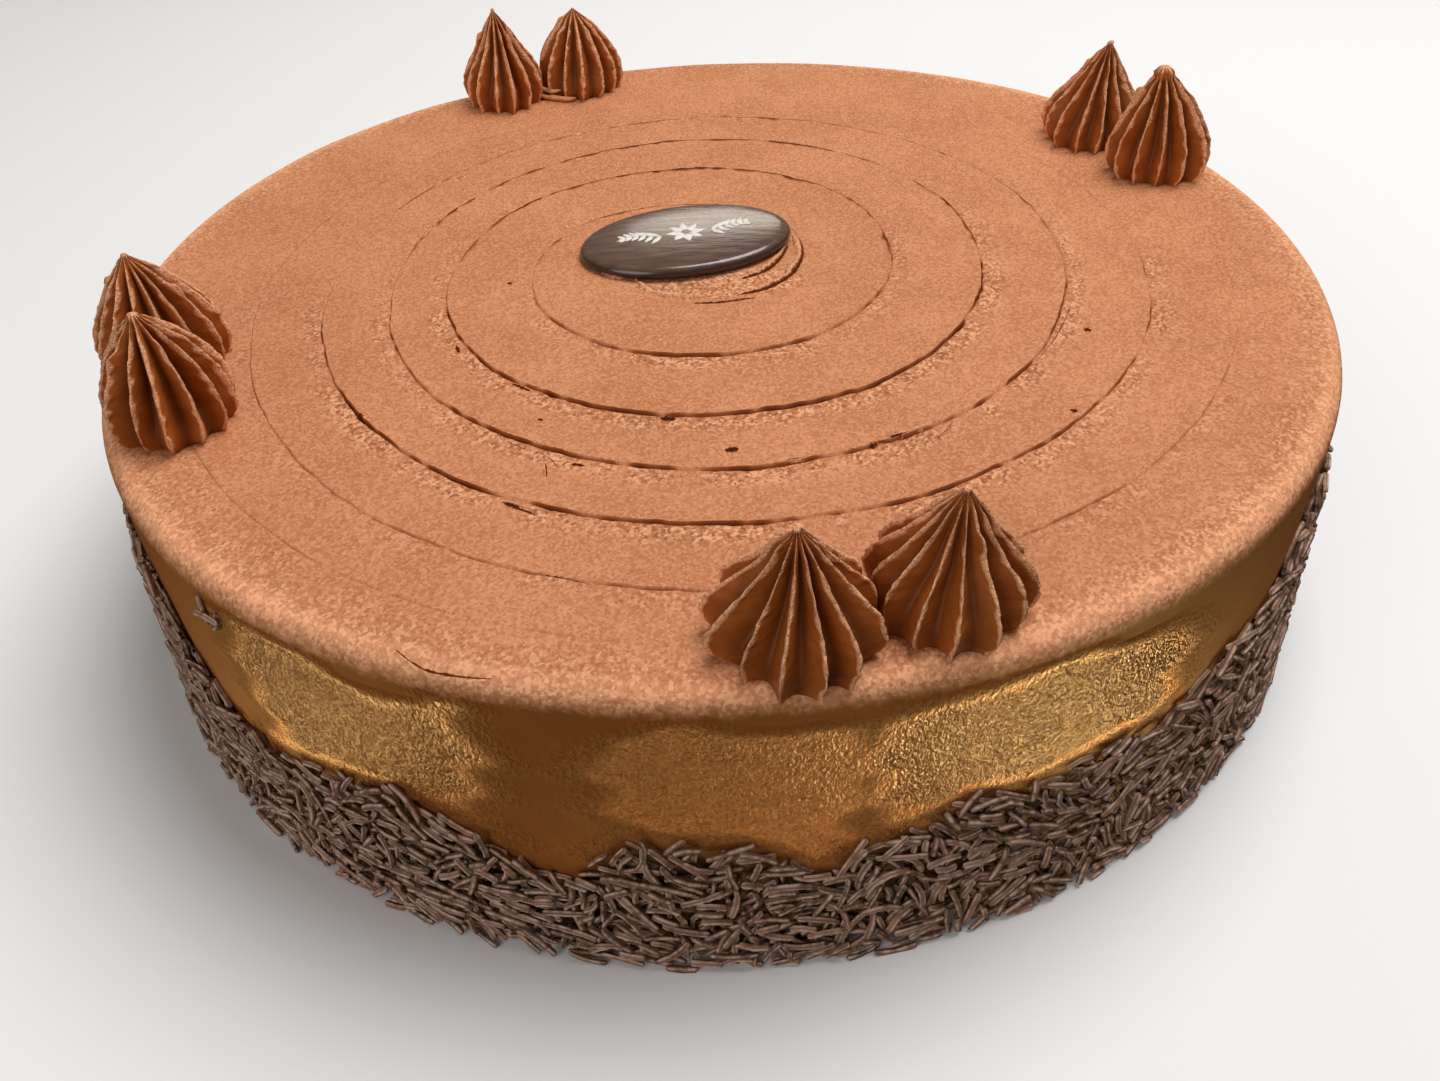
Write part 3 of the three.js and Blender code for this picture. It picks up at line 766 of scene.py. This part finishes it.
# ---- The piped stars --------------------------------------------------------
# Four pairs of stars in a darker, softer chocolate cream, piped through a closed star nozzle: it is
# pressed, swells and is pulled away, which leaves thin torn ridges that run up into a point. The stars of
# a pair squash together.
STAR_RIDGES = 13
STAR_TWIST = 0.12
STAR_ROOT = 1.5
STAR_HEIGHTS = (0, 0.04, 0.1, 0.18, 0.28, 0.4, 0.55, 0.7, 0.85, 1)  # shares of its height
STAR_CRESTS = (0.84, 0.92, 0.975, 1, 0.965, 0.84, 0.61, 0.4, 0.21, 0)  # shares of its radius there
STAR_GROOVES = (0.12, 0.17, 0.23, 0.3, 0.38, 0.45, 0.5, 0.52, 0.5, 0.3)  # how deep its grooves are in them
CREST_WIDTH = {"front": 0.3, "left": 0.4, "back": 0.5, "right": 0.42}  # of the torn edge that is lighter
CREST_KEEN = {"front": 1, "left": 0.7, "back": 0.4, "right": 0.6}  # 1 is torn to a knife edge, 0 is round
STAR_ROWS = 84
ACROSS_RIDGE = (0, 0.03, 0.075, 0.15, 0.26, 0.38, 0.5, 0.62, 0.74, 0.85, 0.925, 0.97)
PAIR_GAP = 0.1
# The stars, pair after pair: polar radius, azimuth, belly, height, lean of the tip, turn of the ridges, the
# tip's radius and how far the upper part is filled out.
STARS = {
    "front_left": (119.6, -85.2, 14.2, 21.4, (0, 0.4), 4, 0.7, 0),
    "front_right": (118, -73.5, 14, 22.6, (1.6, 0.3), 17, 0.8, 0),
    "left_front": (117.2, -152.7, 12.7, 23.9, (-1.1, 0), 9, 1.3, 1),
    "left_back": (116.9, -163.8, 13.6, 24.8, (-1.7, 0.6), 22, 0.7, 0.7),
    "back_left": (120.0, 119.0, 11.9, 25.6, (-0.2, 0), 12, 0.5, 0.1),
    "back_right": (118.4, 108.1, 12.3, 22.5, (-0.3, 0), 1, 0.5, 0.9),
    "right_back": (116.0, 31.4, 12.4, 24.7, (2, 0), 15, 0.8, 0.1),
    "right_front": (117, 19.7, 12.5, 25.4, (-2, 0.3), 6, 2.4, 0.7),
}
RIDGE_SIZES = (0.92, 1.05)
RIDGE_TEARS = (0.72, 0.9)  # shares of the height at which a ridge tears off,
TEAR_STEPS = (0, 0.06, 0.12, 0.2)  # and how far it stands out there
RIDGE_TOES = (0, 0.03, 0.09)  # how far a ridge creeps out at its foot


def star_foot(star):
    out, azimuth = STARS[star][:2]
    return np.array(polar(out, math.radians(azimuth)))


def piped_star(star, neighbour, seed):
    luck = np.random.default_rng(seed)
    _, _, radius, height, lean, turn, tip_radius, full = STARS[star]
    share = np.concatenate([[-STAR_ROOT / height], np.linspace(0, 1, STAR_ROWS - 1)])[:, None]
    on = np.clip(share, 0, 1)
    across = np.tile(ACROSS_RIDGE, STAR_RIDGES)
    ridge = np.repeat(np.arange(STAR_RIDGES), len(ACROSS_RIDGE))
    after = (ridge + 1) % STAR_RIDGES

    def each(values):
        return values[ridge] + (values[after] - values[ridge]) * across

    where = star.split("_")[0]
    keen = CREST_KEEN[where]
    cut = 0.6 * np.abs(np.sin(math.pi * across)) ** 0.85 + 0.4 * (1 - np.abs(1 - 2 * across))
    valley = keen * cut + (1 - keen) * np.sin(math.pi * across) ** 2
    crest = 1 - valley
    nearest = np.where(across < 0.5, ridge, after)
    fullness = each(luck.uniform(*RIDGE_SIZES, STAR_RIDGES))
    groove = np.interp(on, STAR_HEIGHTS, STAR_GROOVES) * (1 + 0.2 * luck.uniform(-1, 1, STAR_RIDGES)[ridge])
    torn = unevenness(seed, 22 * on + 31.3 * nearest) * 0.008
    torn = torn + unevenness(seed + 1, 70 * on + 53.7 * nearest) * 0.003
    torn = torn * smooth(0.02, 0.2, on) * (1 + 3 * smooth(0.78, 0.92, on))
    small = luck.uniform(0, 0.025, STAR_RIDGES)[ridge] * np.exp(-(((across - 0.5) / 0.12) ** 2))
    profile = fullness * (1 - groove * valley) + 2 * torn * crest**2
    past_tear = on - luck.uniform(*RIDGE_TEARS, STAR_RIDGES)[nearest]
    tear = luck.choice(TEAR_STEPS, STAR_RIDGES)[nearest]
    profile = profile * (1 + tear * crest * smooth(-0.14, 0, past_tear) * (1 - smooth(0, 0.02, past_tear)))
    profile = profile + small * np.exp(-((on / 0.3) ** 2))
    toe = luck.choice(RIDGE_TOES, STAR_RIDGES)[nearest]
    profile = profile + toe * crest**3 * np.exp(-((on / 0.03) ** 2))
    rises = np.linspace(0, 1, 41)
    crests = curve_through(STAR_CRESTS, np.interp(rises, STAR_HEIGHTS, np.arange(len(STAR_HEIGHTS))))
    dome = np.interp(on, rises, crests)
    bulging = 1 - (np.clip(on - 0.2, 0, 1) / 0.8) ** 2
    dome = dome + full * np.maximum(bulging - dome, 0) * smooth(0.18, 0.35, on)
    tip_height = (1 - on) * height
    knob = np.sqrt(np.clip(tip_radius**2 - (tip_height - tip_radius) ** 2, 0, None))
    knob = knob * (1 - 0.5 * smooth(tip_radius, 2.2 * tip_radius, tip_height))
    out = np.maximum(radius * dome * profile, knob * (1 + torn * 6))
    waver = 0.04 * unevenness(seed + 2, 5 * on + 17.9 * ridge) * valley
    waver = waver + 0.012 * unevenness(seed + 3, 30 * on + 23.1 * nearest) * crest**2 * smooth(0.1, 0.3, on)
    spacing = each(0.12 * luck.uniform(-1, 1, STAR_RIDGES))
    angle = math.radians(turn) + TURN * (ridge + across + spacing) / STAR_RIDGES + STAR_TWIST * on + waver
    foot = star_foot(star)
    x = foot[0] + out * np.cos(angle) + lean[0] * on**2
    y = foot[1] + out * np.sin(angle) + lean[1] * on**2
    towards = star_foot(neighbour) - foot
    between = np.linalg.norm(towards)
    towards = towards / between
    middle = between * radius / (radius + STARS[neighbour][2]) - PAIR_GAP / 2
    over = (x - foot[0]) * towards[0] + (y - foot[1]) * towards[1] - middle
    squash = 0.4 * np.log1p(np.exp(np.clip(over / 0.4, -30, 30)))
    x, y = x - squash * towards[0], y - squash * towards[1]
    z = CAKE_HEIGHT + share * height + 0 * x
    points = np.stack([x, y, z], -1)
    faces = ring_faces(len(share), len(across))[:, ::-1]
    apart = TURN * radius * dome / STAR_RIDGES
    crest_width = CREST_WIDTH[where] * np.clip(apart / 3, 0.25, 1)
    crest_width = crest_width * (1 + 0.6 * unevenness(seed + 4, 18 * on + 11.7 * nearest))
    shades = {
        "edge": np.exp(-((np.minimum(across, 1 - across) * apart / crest_width) ** 2)),
        # groove: where the grooves get painted shade
        "groove": valley**1.5 * (1 - smooth(0.8, 0.95, on)),
        "low_down": np.broadcast_to(1 - smooth(0, 0.3, on), x.shape),
    }
    return make_piece(f"star_of_cream_{star}", points.reshape(-1, 3), faces, shades)


def piped_cream():
    """Smooth, close chocolate cream with a satin shine. Its torn edges are matt, crumbly and lighter, partly
    as painted highlight, and its grooves are painted dark as shade.
    """
    cream = Finish("piped_cream")
    edge, groove, low_down = cream.shade("edge"), cream.shade("groove"), cream.shade("low_down")
    crumbly, cloudy, fine = cream.grain(0.55, 3), cream.grain(4), cream.grain(0.3)
    colour = cloudy.rising(0.3, 0.7).blend((0.37, 0.092, 0.014, 1), (0.47, 0.13, 0.024, 1))
    # painted shade: the grooves are painted nearly black
    colour = (groove * 0.75).blend(colour, (0.07, 0.014, 0.003, 1))
    # Torn crests are painted lighter: partly their crumbly, paler cream, partly a painted highlight where the
    # crests catch the light.
    frayed_highlight = edge.rising(0.2, 0.75) * (0.4 + crumbly.rising(0.35, 0.55) * 0.6)
    colour = frayed_highlight.blend(colour, (1, 0.52, 0.28, 1))
    return cream.set(
        height=crumbly * (0.05 + edge * 0.5) + fine * 0.03,
        Base_Color=colour,
        Roughness=0.44 + edge * 0.2 - low_down * 0.12,
        Specular_IOR_Level=0.19,
    )


def squeezed_folds():
    """Two rolls of cream that the piping of one star pressed out from under the star beside it."""
    luck = np.random.default_rng(9)
    around = TURN * np.arange(12) / 12
    points, faces = [], []
    for path, radius, height in FOLDS:
        places = np.linspace(0, len(path) - 1, FOLD_RINGS)
        line, aside = drawn_line(path, FOLD_RINGS)
        size = radius * np.sin(math.pi * (places + 0.06) / (places[-1] + 0.12)) ** 0.5
        size = (size * luck.uniform(0.9, 1.1, len(places)))[:, None]
        faces += ring_faces(len(places), len(around), len(points)).tolist()
        x = line[:, :1] + aside[:, :1] * size * np.cos(around)
        y = line[:, 1:] + aside[:, 1:] * size * np.cos(around)
        z = CAKE_HEIGHT + height + 0.8 * size * np.sin(around)
        points += list(np.stack([x, y, z], -1).reshape(-1, 3))
    # painted light: the higher a fold stands, the lighter it is painted, as its top catches the light
    lifted = [0.3 + 0.15 * (point[2] - CAKE_HEIGHT) for point in points]
    return make_piece("squeezed_folds", points, faces, {"edge": lifted})


FOLDS = (  # the line of each at the foot of the back pair, half its width and its height over the icing
    (((-49, 106.6), (-46.8, 104), (-43.2, 102.6), (-39.6, 101.4), (-37.6, 102.4)), 0.9, 0.7),
    (((-49.2, 108.6), (-47, 106), (-44.2, 104.3), (-42, 105)), 0.8, 2.2),
)
FOLD_RINGS = 34
cream = piped_cream()
folds = squeezed_folds()
folds.data.materials.append(cream)
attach(folds, "root")
names = list(STARS)
for number, pair in enumerate(zip(names[::2], names[1::2])):
    for star, neighbour in (pair, pair[::-1]):
        piece = piped_star(star, neighbour, 60 + 10 * number + (star == pair[0]))
        piece.data.materials.append(cream)
        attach(piece, "root")
        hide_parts(f"star_{star}")

# ---- The oval plaque --------------------------------------------------------
# A thin oval of tempered dark chocolate, cast in a mould with a domed face and a rolled edge and laid on
# the icing in the middle. Its face carries a small printed ornament in white cocoa butter: a rosette
# between two leafy sprays.
PLAQUE_PLACE = (-6.3, 8.8)
PLAQUE_LENGTH = 49
PLAQUE_WIDTH = 31.6
PLAQUE_THICKNESS = 3.6
PLAQUE_TURN = 12
PLAQUE_FOOT = CAKE_HEIGHT + 0.2
PLAQUE_OUTLINE = (  # shares of the way out and of its thickness, from the middle over the edge to its foot
    (0, 1), (0.3, 0.985), (0.6, 0.94), (0.88, 0.84), (0.965, 0.7), (1, 0.4), (0.97, 0.12), (0.94, 0),
)
FACE_POINTS = 5  # as many of them are on its face
PLAQUE_COLUMNS = 128


def plaque_height(share):
    """Height of the face over the icing at a share of the way from the middle to the edge."""
    outline = np.array(PLAQUE_OUTLINE[:FACE_POINTS])
    return PLAQUE_FOOT + PLAQUE_THICKNESS * np.interp(share, outline[:, 0], outline[:, 1])


def on_plaque(along, across, above=0.0):
    """A place on the plaque's face, from its own middle."""
    share = np.hypot(along / (PLAQUE_LENGTH / 2), across / (PLAQUE_WIDTH / 2))
    turn = math.radians(PLAQUE_TURN)
    x = PLAQUE_PLACE[0] + along * math.cos(turn) - across * math.sin(turn)
    y = PLAQUE_PLACE[1] + along * math.sin(turn) + across * math.cos(turn)
    return np.stack([x, y, plaque_height(share) + above + 0 * x], -1)


def plaque_body():
    outline = curve_through(PLAQUE_OUTLINE, np.linspace(0, len(PLAQUE_OUTLINE) - 1, 57))
    angle = TURN * np.arange(PLAQUE_COLUMNS) / PLAQUE_COLUMNS
    share, rise = outline[:, :1], outline[:, 1:]
    along = share * PLAQUE_LENGTH / 2 * np.cos(angle)
    across = share * PLAQUE_WIDTH / 2 * np.sin(angle)
    points = on_plaque(along, across)
    points[..., 2] = PLAQUE_FOOT + rise * PLAQUE_THICKNESS
    # wall: where the upright edge gets painted shade
    wall = np.repeat(smooth(0.9, 0.97, share) * (1 - smooth(0.5, 0.75, rise)), PLAQUE_COLUMNS, axis=1)
    faces = ring_faces(len(outline), PLAQUE_COLUMNS)
    return make_piece("oval_plaque", points.reshape(-1, 3), faces, {"wall": wall.ravel()}, weld=0.005)


def tempered_chocolate():
    """Glossy where it touched the mould, with faint release marks and dust."""
    chocolate = Finish("tempered_chocolate")
    marks, dust = chocolate.grain(1.3, 3, stretch=(6, 1, 1)), chocolate.grain(0.6)
    colour = marks.rising(0.35, 0.75).blend((0.09, 0.047, 0.032, 1), (0.13, 0.075, 0.055, 1))
    # painted shade: the upright wall of the edge is painted nearly black
    colour = (chocolate.shade("wall") * 0.8).blend(colour, (0.02, 0.01, 0.007, 1))
    return chocolate.set(
        height=marks * 0.07 + dust * 0.012,
        Base_Color=colour,
        Roughness=0.06 + 0.28 * marks,
        Specular_IOR_Level=0.5,
        Coat_Weight=0.3,
        Coat_Roughness=0.1,
    )


def leaf(base, tip, width, points, faces, thick=0.16):
    """A pointed leaf printed on the face from its base to its tip, a little raised along its middle."""
    base, tip = np.array(base, float), np.array(tip, float)
    side = np.array([base[1] - tip[1], tip[0] - base[0]]) / np.linalg.norm(tip - base)
    first = len(points)
    steps = 9
    for u in np.linspace(0, 1, steps):
        half = width / 2 * math.sin(math.pi * u**0.75) + 0.01
        centre = base + (tip - base) * u
        for across, rise in ((-1, -0.05), (-0.6, 1), (0.6, 1), (1, -0.05)):
            points.append(on_plaque(*(centre + side * half * across), thick * rise))
    for step in range(steps - 1):
        for k in range(3):
            a = first + 4 * step + k
            faces.append((a, a + 4, a + 5, a + 1))


def ornament():
    points, faces = [], []
    for petal in range(8):
        turn = TURN * petal / 8
        direction = np.array([math.cos(turn), math.sin(turn)])
        leaf(direction * 0.9, direction * 4.6, 1.9, points, faces)
    for side in (-1, 1):
        stem = [np.array([side * (6 + 9.5 * u), 2.2 * math.sin(2.6 * u) - 0.6]) for u in np.linspace(0, 1, 7)]
        for here, there in zip(stem, stem[1:]):
            leaf(here - 0.25 * (there - here), there + 0.25 * (there - here), 0.55, points, faces)
        for number, here in enumerate(stem[:-1]):
            reach = 3.4 - 0.3 * number
            for bank in (-1, 1):
                tip = here + np.array([side * reach * 0.75, bank * reach * 0.8])
                leaf(here, tip, 1.25, points, faces)
    return make_piece("white_ornament", points, faces)


def cocoa_butter_print():
    white = Finish("cocoa_butter_print")
    thin = white.grain(1.2)
    colour = thin.rising(0.3, 0.6).blend((0.66, 0.6, 0.53, 1), (0.82, 0.77, 0.7, 1))
    return white.set(height=thin * 0.03, Base_Color=colour, Roughness=0.4)


plaque = plaque_body()
plaque.data.materials.append(tempered_chocolate())
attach(plaque, "root")
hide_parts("plaque")
print_on_plaque = ornament()
print_on_plaque.data.materials.append(cocoa_butter_print())
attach(print_on_plaque, "root")

# ---- The table and the light ------------------------------------------------
# The cake stands on a plain pale table under one large soft light, a little behind it and to the right.
# Three small warm lights at table height reflect from below in the scraped side alone, which gleams there.
TABLE_SIZE = 9000
KEY = {"place": (0.36, 0.22, 1.14), "size": 0.85, "power": 13.5}
# The gleams' azimuth, distance from the middle, size and power. Sizes of lights are in metres.
GLEAMS = ((-133, 0.166, 0.06, 0.29), (-57, 0.163, 0.07, 0.64), (-92, 0.17, 0.07, 0.28))
GLEAM_DEPTH = 0.025
GLEAMS_AT = -0.004  # their height


def area_light(name, place, aim, size, power, colour=(1, 1, 1), depth=None):
    light = bpy.data.objects.new(name, bpy.data.lights.new(name, "AREA"))
    light.data.shape = "ELLIPSE"
    light.data.size = size
    light.data.size_y = depth or size
    light.data.energy = power
    light.data.color = colour
    light.location = place
    light.rotation_euler = (Vector(aim) - Vector(place)).to_track_quat("-Z", "Y").to_euler()
    light.visible_camera = False
    bpy.context.scene.collection.objects.link(light)
    return light


half = TABLE_SIZE / 2
corners = ((-half, -half, 0), (half, -half, 0), (half, half, 0), (-half, half, 0))
table = make_piece("table", corners, [(0, 1, 2, 3)])
pale = Finish("pale_table")
table.data.materials.append(pale.set(Base_Color=(0.86, 0.86, 0.86, 1), Roughness=0.9, Specular_IOR_Level=0.1))
table.visible_diffuse = False
table.visible_glossy = False
table.visible_shadow = False

area_light("key", KEY["place"], (0, 0, 0.05), KEY["size"], KEY["power"])
area_light("back", (0.03, 0.95, 0.46), (0, 0, 0.08), 0.3, 0.5, (1, 0.88, 0.78), depth=0.17)
area_light("fill", (-0.75, -1.05, 0.6), (0, 0, 0.03), 1.0, 5.6)
side_alone = bpy.data.collections.new("side_alone")
side_alone.objects.link(cake)
for azimuth, out, size, power in GLEAMS:
    angle = math.radians(azimuth)
    at, side = (*polar(out, angle), GLEAMS_AT), (*polar(0.13, angle), 0.045)
    gleam = area_light(f"gleam_{-azimuth}", at, side, size, power, (1, 0.62, 0.2), depth=GLEAM_DEPTH)
    gleam.visible_diffuse = False
    gleam.light_linking.receiver_collection = side_alone

world = bpy.data.worlds.new("studio")
bpy.context.scene.world = world
world.use_nodes = True
air = Tone(world.node_tree)
direction = air.node("TexCoord", output="Generated")
upwards = air.node("SeparateXYZ", sockets={0: direction}, output="Z").rising(-0.15, 0.15)
room = upwards.blend((0.09, 0.068, 0.052, 1), (0.19, 0.172, 0.155, 1))
air.feed(world.node_tree.nodes["Background"], {"Color": room})

bpy.context.scene.view_settings.view_transform = "Standard"
